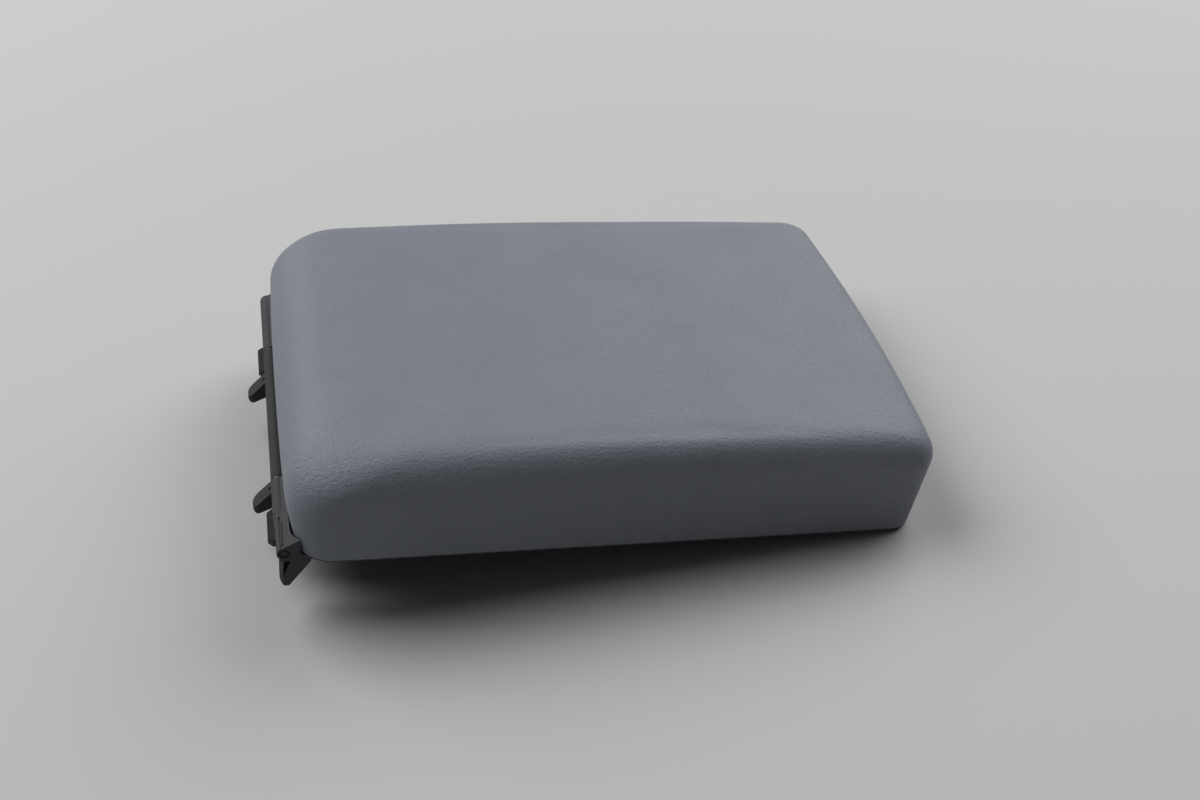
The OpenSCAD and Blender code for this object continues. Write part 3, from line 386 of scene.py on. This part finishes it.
# Each side's edge rounding at the rear, and how much its rear corner grows from foot to top: the
# near corner is a wide soft blend, the far one is crisp
NEAR_REAR, FAR_REAR = (17.2 * MM, 17.3 * MM), (2.6 * MM, 0)
# How far the ends bow out and the front's foot lies back, how far the sides flare at their foot, and
# the share by which the pad widens from rear to front
FRONT_BOW, REAR_BOW = 4.8 * MM, 0.9 * MM
FRONT_LEAN, SIDE_FLARE, WIDENING = 5 * MM, 3.8 * MM, 0.024
REAR_TILT = math.radians(11.7)
# The leather's thickness and the lower panel's
SKIN, PANEL = 1.2 * MM, 1.5 * MM
# The pad is worked out from the foot of its rear wall, which lies here in the part's frame
LID_X, LID_Z = -8 * MM, 20 * MM
SHOULDER = PAD_H - REAR_R
BEND_H = REAR_R * math.sin(REAR_TILT)
OVERHANG = REAR_R * (1 - math.cos(REAR_TILT)) + (SHOULDER - BEND_H) * math.tan(REAR_TILT)


def arc_in(rounding, height):
    """How far in an edge's rounding has come at a height above its start."""
    r = max(rounding, 0)
    return r - math.sqrt(max(r * r - height * height, 0))


def crown(x, y):
    """The top's height over PAD_H at a place, which is negative towards the rear."""
    along = 1 - ((x - CROWN_AT * PAD_L) / (0.5 * PAD_L)) ** 2
    return CROWN_LONG * along + CROWN_CROSS * (1 - (2 * y / PAD_W) ** 2)


def rear_in(z, d):
    """Inset of the rear wall, which leans out over its foot and then rounds into the top."""
    r, height = REAR_R - d, z - SHOULDER
    bend = -r * math.sin(REAR_TILT)
    return d - OVERHANG + arc_in(r, max(height, bend)) + max(0, bend - height) * math.tan(REAR_TILT)


def half_ring(z, d, rear_form, end_steps, corner_steps, side_steps):
    """Half of the pad's outline at a height, d inside the cover's face, with one side's rear form."""
    side_r_rear, corner_growth = rear_form
    front_top = PAD_H - FRONT_R
    x0 = rear_in(z, d)
    x1 = PAD_L - d - arc_in(FRONT_R - d, max(0, z - front_top)) \
        - FRONT_LEAN * (1 - min(z, front_top) / front_top)
    grown = CORNER_REAR + corner_growth * min(max(z / PAD_H, 0), 1) ** 2
    w, rr, rf = PAD_W / 2, max(grown - d, CORNER_LEAST), max(CORNER_FRONT - d, CORNER_LEAST)
    flat = [(x0, -(w - rr) * i / end_steps) for i in range(end_steps)]
    for i in range(corner_steps + 1):
        a = math.radians(180 + 90 * i / corner_steps)
        flat.append((x0 + rr + rr * math.cos(a), -w + rr + rr * math.sin(a)))
    run = x1 - rf - x0 - rr
    flat += [(x0 + rr + run * i / side_steps, -w) for i in range(1, side_steps)]
    for i in range(corner_steps + 1):
        a = math.radians(270 + 90 * i / corner_steps)
        flat.append((x1 - rf + rf * math.cos(a), -w + rf + rf * math.sin(a)))
    flat += [(x1, -(w - rf) * (1 - i / end_steps)) for i in range(1, end_steps + 1)]
    half = []
    for x, y in flat:
        r = side_r_rear + (SIDE_R - side_r_rear) * min(max(x / (CROWN_AT * PAD_L), 0), 1)
        side_in = d + arc_in(r - d, max(0, z - (PAD_H - r))) - SIDE_FLARE * (1 - z / PAD_H)
        y = y * (w - side_in) / w
        bow = 1 - (y / w) ** 2
        u = (x - x0) / (x1 - x0)
        x += FRONT_BOW * bow * max(0, 2 * u - 1) - REAR_BOW * bow * max(0, 1 - 2 * u)
        rise = min(1, max(0, (z + d - PANEL - SKIN) / (PAD_H - PANEL - SKIN))) ** 3
        half.append((x, y * (1 + WIDENING * (x / PAD_L - 0.5)), z + rise * crown(x, y)))
    return half


def pad_ring(z, d, *steps):
    """The pad's outline at a height, d inside the cover's face, as a closed run of points."""
    far = half_ring(z, d, FAR_REAR, *steps)
    return half_ring(z, d, NEAR_REAR, *steps) + [(x, -y, z) for x, y, z in far[-2:0:-1]]


def pad_shell(d, levels, steps, foot):
    """Quads through the rings of a pad and over its top, whose grid meets the last ring's points."""
    end_steps, corner_steps, side_steps = steps
    rings = foot + [pad_ring(z, d, *steps) for z in levels]
    n = len(rings[0])
    points = [p for ring in rings for p in ring]
    faces = [(k * n + i, k * n + (i + 1) % n, (k + 1) * n + (i + 1) % n, (k + 1) * n + i)
             for k in range(len(rings) - 1) for i in range(n)]
    # The top's grid runs between the middles of the four corners
    across = end_steps + corner_steps // 2
    along = side_steps + corner_steps
    last = (len(rings) - 1) * n
    rear = [last + (across - j) % n for j in range(2 * across + 1)]
    near = [last + (across + i) % n for i in range(along + 1)]
    far = [last + (-across - i) % n for i in range(along + 1)]
    front = [last + (across + along + j) % n for j in range(2 * across + 1)]
    top = {}
    for i in range(along + 1):
        for j in range(2 * across + 1):
            if i == 0:
                top[i, j] = rear[j]
            elif i == along:
                top[i, j] = front[j]
            elif j == 0:
                top[i, j] = near[i]
            elif j == 2 * across:
                top[i, j] = far[i]
            else:
                s, t = i / along, j / (2 * across)
                sides = [(1 - s) * points[rear[j]][k] + s * points[front[j]][k]
                         + (1 - t) * points[near[i]][k] + t * points[far[i]][k]
                         - (1 - s) * (1 - t) * points[rear[0]][k] - (1 - s) * t * points[rear[-1]][k]
                         - s * (1 - t) * points[front[0]][k] - s * t * points[front[-1]][k]
                         for k in (0, 1)]
                top[i, j] = len(points)
                points.append((sides[0], sides[1], PAD_H - d + crown(*sides)))
    for i in range(along):
        for j in range(2 * across):
            faces.append((top[i, j], top[i + 1, j], top[i + 1, j + 1], top[i, j + 1]))
    return points, faces, n


def to_mesh(name, points, faces):
    """A mesh in the part's frame from points in the pad's own."""
    mesh = bpy.data.meshes.new(name)
    mesh.from_pydata([(x + LID_X, y, z + LID_Z) for x, y, z in points], [], faces)
    mesh.validate()
    bm = bmesh.new()
    bm.from_mesh(mesh)
    bmesh.ops.recalc_face_normals(bm, faces=bm.faces)
    bm.to_mesh(mesh)
    bm.free()
    mesh.shade_smooth()
    return mesh


def level_run(d, low, wall_steps, round_steps):
    """Heights up a wall from low to the shoulder, then round to the top."""
    wall = [low + (SHOULDER - low) * i / wall_steps for i in range(wall_steps)]
    return wall + [SHOULDER + (REAR_R - d) * math.sin(math.pi / 2 * i / round_steps)
                   for i in range(round_steps + 1)]


def open_foam(name, cell_mm=0.9):
    """Polyurethane foam: a cream sponge of small open cells with painted shade in their pits, wholly matt."""
    material, tree, shader, place = new_material(name)
    cells = add(tree, "ShaderNodeTexVoronoi", {"feature": "F1"}, Vector=place, Scale=1 / (cell_mm * MM))
    # Painted shade: each cell's pit is drawn in the darker cream
    tone = add(tree, "ShaderNodeMix", {"data_type": "RGBA"}, Factor=cells.outputs["Distance"],
               i6=linear("b9a878"), i7=linear("e6dcb8"))
    tree.links.new(tone.outputs[2], shader.inputs["Base Color"])
    bump = add(tree, "ShaderNodeBump", Height=cells.outputs["Distance"], Distance=0.4 * MM)
    tree.links.new(bump.outputs[0], shader.inputs["Normal"])
    shader.inputs["Roughness"].default_value = 0.95
    return material


# The foam's clearance to the cover and the carrier, and how far in the hollow for the carrier lies
FOAM_GAP, HOLLOW_IN = 0.3 * MM, 8.7 * MM
# Steps across each half end, round each corner and along each side, then up the wall and its rounding
FOAM_STEPS, FOAM_LEVELS = (8, 4, 24), (2, 10)
foam_d = SKIN + FOAM_GAP
foam_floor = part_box("foam_pad")[0].z - LID_Z
carrier_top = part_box("carrier")[1].z - LID_Z + FOAM_GAP
hollow = [(x, y, carrier_top) for x, y, z in pad_ring(0, HOLLOW_IN, *FOAM_STEPS)]
foam_points, foam_faces, foam_n = pad_shell(
    foam_d, level_run(foam_d, foam_floor, *FOAM_LEVELS), FOAM_STEPS,
    [hollow, [(x, y, foam_floor) for x, y, z in hollow]])
foam_faces.append(tuple(range(foam_n))[::-1])
foam_mesh = to_mesh("foam_block", foam_points, foam_faces)
foam_mesh.materials.append(open_foam("open_cell_foam"))
foam = place_piece("foam_block", foam_mesh, "lid", "foam", "foam_pad")

# Leather cover
# One piece of blue-grey grained leather, wrapped over the foam, drawn round the corners and folded
# under at the foot. The foam presses it out, so a cloth simulation swells it, pinned at its fold.
# The fold hangs over the lower panel's edge, which leaves only a thin dark line of the panel.
COVER_STEPS, COVER_LEVELS = (24, 8, 70), (8, 16)
# How far inside its outline the cover starts, and the most that it swells
COVER_IN, SWELL = 0.05 * MM, 0.5 * MM
# The hem's width, and the height at which the wall turns under into the fold
HEM, FOLD_Z = 12 * MM, 1.0 * MM
# The fold's section as inset and height, from the hem's edge out to the lip over the panel's edge
FOLD = ((HEM, PANEL + SKIN), (HEM, PANEL + 0.1 * MM), (HEM * 0.7, PANEL), (HEM * 0.35, PANEL),
        (1.3 * MM, PANEL), (0.36 * MM, PANEL), (0.34 * MM, FOLD_Z), (0.2 * MM, FOLD_Z - 0.18 * MM))
CLOTH = {"quality": 6, "mass": 0.4, "tension_stiffness": 40, "compression_stiffness": 40,
         "shear_stiffness": 20, "bending_stiffness": 10, "use_pressure": True,
         "uniform_pressure_force": 3}
CLOTH_FRAMES = 20

fold = [[(x, y, z) for x, y, _ in pad_ring(0, inset, *COVER_STEPS)] for inset, z in FOLD]
cover_points, cover_faces, cover_n = pad_shell(
    COVER_IN, level_run(COVER_IN, FOLD_Z, *COVER_LEVELS), COVER_STEPS, fold)
cover_mesh = to_mesh("leather_cover", cover_points, cover_faces)


def grained_leather(name):
    """Corrected-grain leather: pebbles about 1 mm across with fine creases between them, and
    wrinkles where it bends round the long edges. The pebbles are drawn a little coarse to show."""
    material, tree, shader, place = new_material(name)
    pebble = add(tree, "ShaderNodeTexVoronoi", {"feature": "SMOOTH_F1"}, Vector=place,
                 Scale=1 / (1.15 * MM), Smoothness=0.45, Randomness=0.95)
    pore = add(tree, "ShaderNodeTexNoise", Vector=place, Scale=1 / (0.5 * MM), Detail=3.0)
    mottle = add(tree, "ShaderNodeTexNoise", Vector=place, Scale=1 / (34 * MM), Detail=3.0)
    stretch = add(tree, "ShaderNodeMapping", Vector=place, Scale=(0.28, 1.0, 1.0))
    wrinkle = add(tree, "ShaderNodeTexNoise", Vector=stretch.outputs[0], Scale=1 / (2.2 * MM), Detail=2.5,
                  Distortion=0.6)
    bend = add(tree, "ShaderNodeAttribute", {"attribute_name": "bend"})

    # Colour: a faint mottle, and painted shade that darkens the grooves between the pebbles
    tone = add(tree, "ShaderNodeMix", {"data_type": "RGBA"}, Factor=mottle.outputs["Fac"],
               i6=linear("70757f"), i7=linear("7d828c"))
    # Painted shade: the grooves between the pebbles are drawn darker
    groove_shade = add(tree, "ShaderNodeMapRange", Value=pebble.outputs["Distance"], From_Min=0.45, From_Max=0.95,
              To_Min=0.0, To_Max=0.22)
    tone_with_groove_shade = add(tree, "ShaderNodeMix", {"data_type": "RGBA"}, Factor=groove_shade.outputs[0],
                  i6=tone.outputs[2], i7=linear("5d616a"))
    tree.links.new(tone_with_groove_shade.outputs[2], shader.inputs["Base Color"])

    # Relief: pebbles everywhere, pores on them, wrinkles only where the cover bends
    fold = add(tree, "ShaderNodeMath", {"operation": "MULTIPLY"}, i0=wrinkle.outputs["Fac"],
               i1=bend.outputs["Fac"])
    bump_fold = add(tree, "ShaderNodeBump", Height=fold.outputs[0], Distance=0.45 * MM, Strength=0.8)
    bump_pebble = add(tree, "ShaderNodeBump", {"invert": True}, Height=pebble.outputs["Distance"],
                      Distance=0.2 * MM, Strength=0.9, Normal=bump_fold.outputs[0])
    bump_pore = add(tree, "ShaderNodeBump", Height=pore.outputs["Fac"], Distance=0.04 * MM, Strength=0.5,
                    Normal=bump_pebble.outputs[0])
    tree.links.new(bump_pore.outputs[0], shader.inputs["Normal"])
    gloss = add(tree, "ShaderNodeMapRange", Value=pebble.outputs["Distance"], To_Min=0.5, To_Max=0.66)
    tree.links.new(gloss.outputs[0], shader.inputs["Roughness"])
    shader.inputs["IOR"].default_value = 1.5
    return material


def swell(mesh, pinned, limit):
    """Presses a cover out as the foam under it does, moving no point further than limit."""
    holder = bpy.data.objects.new("swelling", mesh.copy())
    scene.collection.objects.link(holder)
    group = holder.vertex_groups.new(name="fold")
    group.add(pinned, 1.0, "REPLACE")
    modifier = holder.modifiers.new("leather", "CLOTH")
    for setting, value in CLOTH.items():
        setattr(modifier.settings, setting, value)
    modifier.settings.vertex_group_mass = group.name
    modifier.settings.effector_weights.gravity = 0
    modifier.collision_settings.use_collision = False
    modifier.point_cache.frame_start, modifier.point_cache.frame_end = 1, CLOTH_FRAMES
    for step in range(1, CLOTH_FRAMES + 1):
        scene.frame_set(step)
    ready = holder.evaluated_get(bpy.context.evaluated_depsgraph_get())
    moved = np.array([v.co for v in ready.data.vertices])
    rest = np.array([v.co for v in mesh.vertices])
    way = moved - rest
    far = np.linalg.norm(way, axis=1)
    keep = limit * np.tanh(far / limit) / np.maximum(far, 1e-9)
    mesh.vertices.foreach_set("co", (rest + way * keep[:, None]).astype(np.float32).ravel())
    mesh.update()
    bpy.data.objects.remove(holder)
    scene.frame_set(1)


swell(cover_mesh, list(range(cover_n * (len(fold) + 1))), SWELL)

# How much the leather bends, by its depth below the pad's top: fully at BEND_AT, on the rounded edges,
# about a quarter on the top itself, and not at all low on the walls
BEND_AT, BEND_SPREAD = 8 * MM, 7 * MM
bend_values = np.zeros(len(cover_mesh.vertices), np.float32)
for index, vertex in enumerate(cover_mesh.vertices):
    height = vertex.co.z - LID_Z
    along_top = crown(vertex.co.x - LID_X, vertex.co.y)
    below = PAD_H + along_top - height
    bend_values[index] = math.exp(-((below - BEND_AT) / BEND_SPREAD) ** 2)
bend_layer = cover_mesh.attributes.new("bend", "FLOAT", "POINT")
bend_layer.data.foreach_set("value", bend_values)
cover_mesh.materials.append(grained_leather("blue_grey_leather"))
cover = place_piece("leather_cover", cover_mesh, "lid", "cover_leather", "cover_skin")
finer = cover.modifiers.new("finer", "SUBSURF")
finer.levels = finer.render_levels = 1

# Cover staples
# Steel staples through the folded edge into the carrier's rim, closed in by the lower panel.
finish_node("cover_staples", zinc)

# Lower panel
# The lid's underside, moulded in black ABS with a fine grain, with a step that drops into the box.
# It is screwed to the carrier, and its edge shows as a thin dark line under the leather.
panel_abs = moulded_abs("panel_grained_abs", "131314", "1b1b1d", grain_mm=0.9, depth_mm=0.06,
                        roughness=0.52)
place_moulding("lower_panel", LID_EDGE, panel_abs, "lid", "grained_plastic")

# Buffers
# Two rubber buffers pushed into the panel near its front, which land on the console's rim.


def moulded_rubber(name):
    """Black rubber: matt and soft, with a dusty bloom."""
    material, tree, shader, place = new_material(name)
    bloom = add(tree, "ShaderNodeTexNoise", Vector=place, Scale=1 / (1.5 * MM), Detail=4.0)
    tone = add(tree, "ShaderNodeMix", {"data_type": "RGBA"}, Factor=bloom.outputs["Fac"],
               i6=linear("121212"), i7=linear("202020"))
    tree.links.new(tone.outputs[2], shader.inputs["Base Color"])
    bump = add(tree, "ShaderNodeBump", Height=bloom.outputs["Fac"], Distance=0.03 * MM)
    tree.links.new(bump.outputs[0], shader.inputs["Normal"])
    shader.inputs["Roughness"].default_value = 0.8
    shader.inputs["IOR"].default_value = 1.52
    return material


BUFFER_EDGE = 0.2 * MM
rubber = moulded_rubber("buffer_rubber")
for side in ("near", "far"):
    place_moulding(side + "_buffer", BUFFER_EDGE, rubber, "lid", "rubber")

# Latch
# A box in the lid's front edge with a sprung finger lever: lifting the paddle draws the hook from
# the console's striker. The box is black ABS, the lever nylon, and the spring zinc-plated wire.
place_moulding("latch_housing", LID_EDGE, panel_abs, "lid", "grained_plastic")
place_moulding("latch_lever", LID_EDGE, base_nylon, "latch", "moulded_plastic")
finish_node("latch_spring", zinc)

# Floor
# A plain pale sheet. The lid lies as it was set down, on the foot of its flange and the front edge
# of its panel, so the floor slopes through those two edges of the part.
# The flange's thickness, and half the floor's side in metres
FLANGE_T, FLOOR_HALF = 3 * MM, 6
foot = Vector((FLANGE_T, 0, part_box("hinge_base")[0].z))
front = Vector((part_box("lower_panel")[1].x, 0, LID_Z))
slope = math.atan2(front.z - foot.z, front.x - foot.x)
floor_mesh = bpy.data.meshes.new("floor")
along_floor = Vector((math.cos(slope), 0, math.sin(slope)))
corners = [foot + along_floor * (sx * FLOOR_HALF) + Vector((0, sy * FLOOR_HALF, 0))
           for sx, sy in ((-1, -1), (1, -1), (1, 1), (-1, 1))]
floor_mesh.from_pydata([tuple(c) for c in corners], [], [(0, 1, 2, 3)])
floor_material, floor_tree, floor_shader, _ = new_material("pale_sheet")
floor_shader.inputs["Base Color"].default_value = linear("cacaca")
floor_shader.inputs["Roughness"].default_value = 0.7

# From below, the floor is clear to the camera alone, so that the underside can be looked at
ray = add(floor_tree, "ShaderNodeLightPath")
side_seen = add(floor_tree, "ShaderNodeNewGeometry")
from_below = add(floor_tree, "ShaderNodeMath", {"operation": "MULTIPLY"}, i0=ray.outputs["Is Camera Ray"],
                 i1=side_seen.outputs["Backfacing"])
clear = add(floor_tree, "ShaderNodeBsdfTransparent")
mixed = add(floor_tree, "ShaderNodeMixShader", Fac=from_below.outputs[0])
floor_tree.links.new(floor_shader.outputs[0], mixed.inputs[1])
floor_tree.links.new(clear.outputs[0], mixed.inputs[2])
floor_out = [n for n in floor_tree.nodes if n.type == "OUTPUT_MATERIAL"][0]
floor_tree.links.new(mixed.outputs[0], floor_out.inputs["Surface"])
floor_mesh.materials.append(floor_material)
floor = bpy.data.objects.new("floor", floor_mesh)
scene.collection.objects.link(floor)

# Light
# Soft and plain: two large lamps behind the part, the stronger to the left, as from windows in a
# dim room. The camera doesn't see them.
LAMP_FAR, LAMP_SIZE = 4.0, 3.2
# Each lamp's direction from the middle of the part, and its power in watts
LAMPS = {"left_window": ((-0.62, 0.45, 0.64), 130), "right_window": ((0.55, 0.5, 0.67), 92)}
SURROUND = 0.03
target = Vector((0.14, 0, 0.02))
for name, (way, power) in LAMPS.items():
    lamp_data = bpy.data.lights.new(name, "AREA")
    lamp_data.shape = "SQUARE"
    lamp_data.size = LAMP_SIZE
    lamp_data.energy = power
    lamp = bpy.data.objects.new(name, lamp_data)
    scene.collection.objects.link(lamp)
    lamp.location = target + Vector(way).normalized() * LAMP_FAR
    lamp.visible_camera = False
    lamp.rotation_mode = "QUATERNION"
    lamp.rotation_quaternion = (target - lamp.location).to_track_quat("-Z", "Y")

world = bpy.data.worlds.new("surround")
scene.world = world
world.use_nodes = True
world.node_tree.nodes.clear()
seen = add(world.node_tree, "ShaderNodeLightPath")
mirrored = add(world.node_tree, "ShaderNodeMath", {"operation": "MAXIMUM"}, i0=seen.outputs["Is Glossy Ray"],
               i1=seen.outputs["Is Transmission Ray"])
direct = add(world.node_tree, "ShaderNodeMath", {"operation": "MAXIMUM"}, i0=seen.outputs["Is Camera Ray"],
             i1=mirrored.outputs[0])
surround = add(world.node_tree, "ShaderNodeBackground", Color=linear("ffffff"), Strength=SURROUND)
shown = add(world.node_tree, "ShaderNodeBackground", Color=linear("cccccc"), Strength=1.0)
either = add(world.node_tree, "ShaderNodeMixShader", Fac=direct.outputs[0])
world.node_tree.links.new(surround.outputs[0], either.inputs[1])
world.node_tree.links.new(shown.outputs[0], either.inputs[2])
add(world.node_tree, "ShaderNodeOutputWorld", Surface=either.outputs[0])

# Camera
# Its place and aim come from a fit of the pad's outline to the photograph, in the pad's own frame.
SENSOR, LENS = 36, 43.51
CAMERA_X, CAMERA_Y, CAMERA_Z = -0.0199, -0.5781, 0.4598
camera_data = bpy.data.cameras.new("camera")
camera_data.sensor_width = SENSOR
camera_data.lens = LENS
camera = bpy.data.objects.new("camera", camera_data)
scene.collection.objects.link(camera)
aim = Vector((0.2378, 0.7615, -0.603)).normalized()
right = Vector((0.971, -0.211, 0.116))
right = (right - aim * right.dot(aim)).normalized()
up = right.cross(aim)
turned = Matrix((right, up, -aim)).transposed().to_4x4()
camera.matrix_world = Matrix.Translation((LID_X + CAMERA_X, CAMERA_Y, LID_Z + CAMERA_Z)) @ turned
scene.camera = camera
scene.view_settings.view_transform = "Standard"
